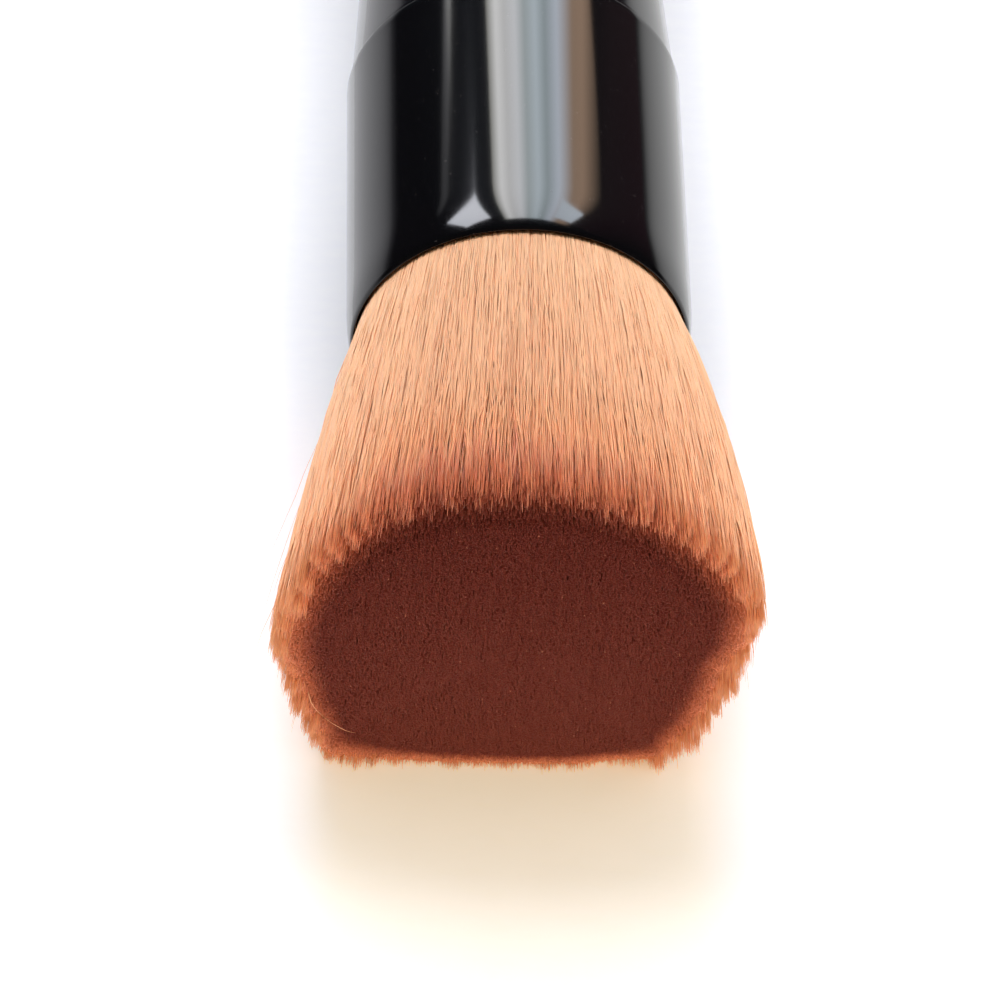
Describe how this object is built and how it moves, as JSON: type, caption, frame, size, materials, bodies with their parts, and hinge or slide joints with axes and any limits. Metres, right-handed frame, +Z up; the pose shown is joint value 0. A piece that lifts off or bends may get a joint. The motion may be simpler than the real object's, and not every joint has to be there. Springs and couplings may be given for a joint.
{
  "type": "makeup brush",
  "caption": "Short flat-topped makeup brush with a dense flared bristle head, a glossy black ferrule and a short waisted handle.",
  "frame": {"origin": "middle of the footprint on the table that the brush lies on", "axes": "+Y runs along the brush from the bristles to the tail, +Z is up, +X is to the right when looking from the bristles to the tail"},
  "size_m": [0.0322, 0.1084, 0.0281],
  "materials": {
    "filament": "fine synthetic filament, tan with red-brown tips",
    "cured_resin": "gloss",
    "thread": "matte",
    "ferrule_metal": "gloss",
    "adhesive": "gloss",
    "handle_plastic": "gloss",
    "steel": "satin",
    "packing_card": "matte",
    "cap_plastic": "gloss"
  },
  "bodies": {
    "root": {"bristles": "filament", "root_plug": "cured_resin", "root_band": "thread", "ferrule": "ferrule_metal", "tenon_adhesive": "adhesive", "handle": "handle_plastic", "balance_weight": "steel", "weight_pad": "packing_card", "end_cap": "cap_plastic", "cap_adhesive": "adhesive"}
  },
  "joints": []
}
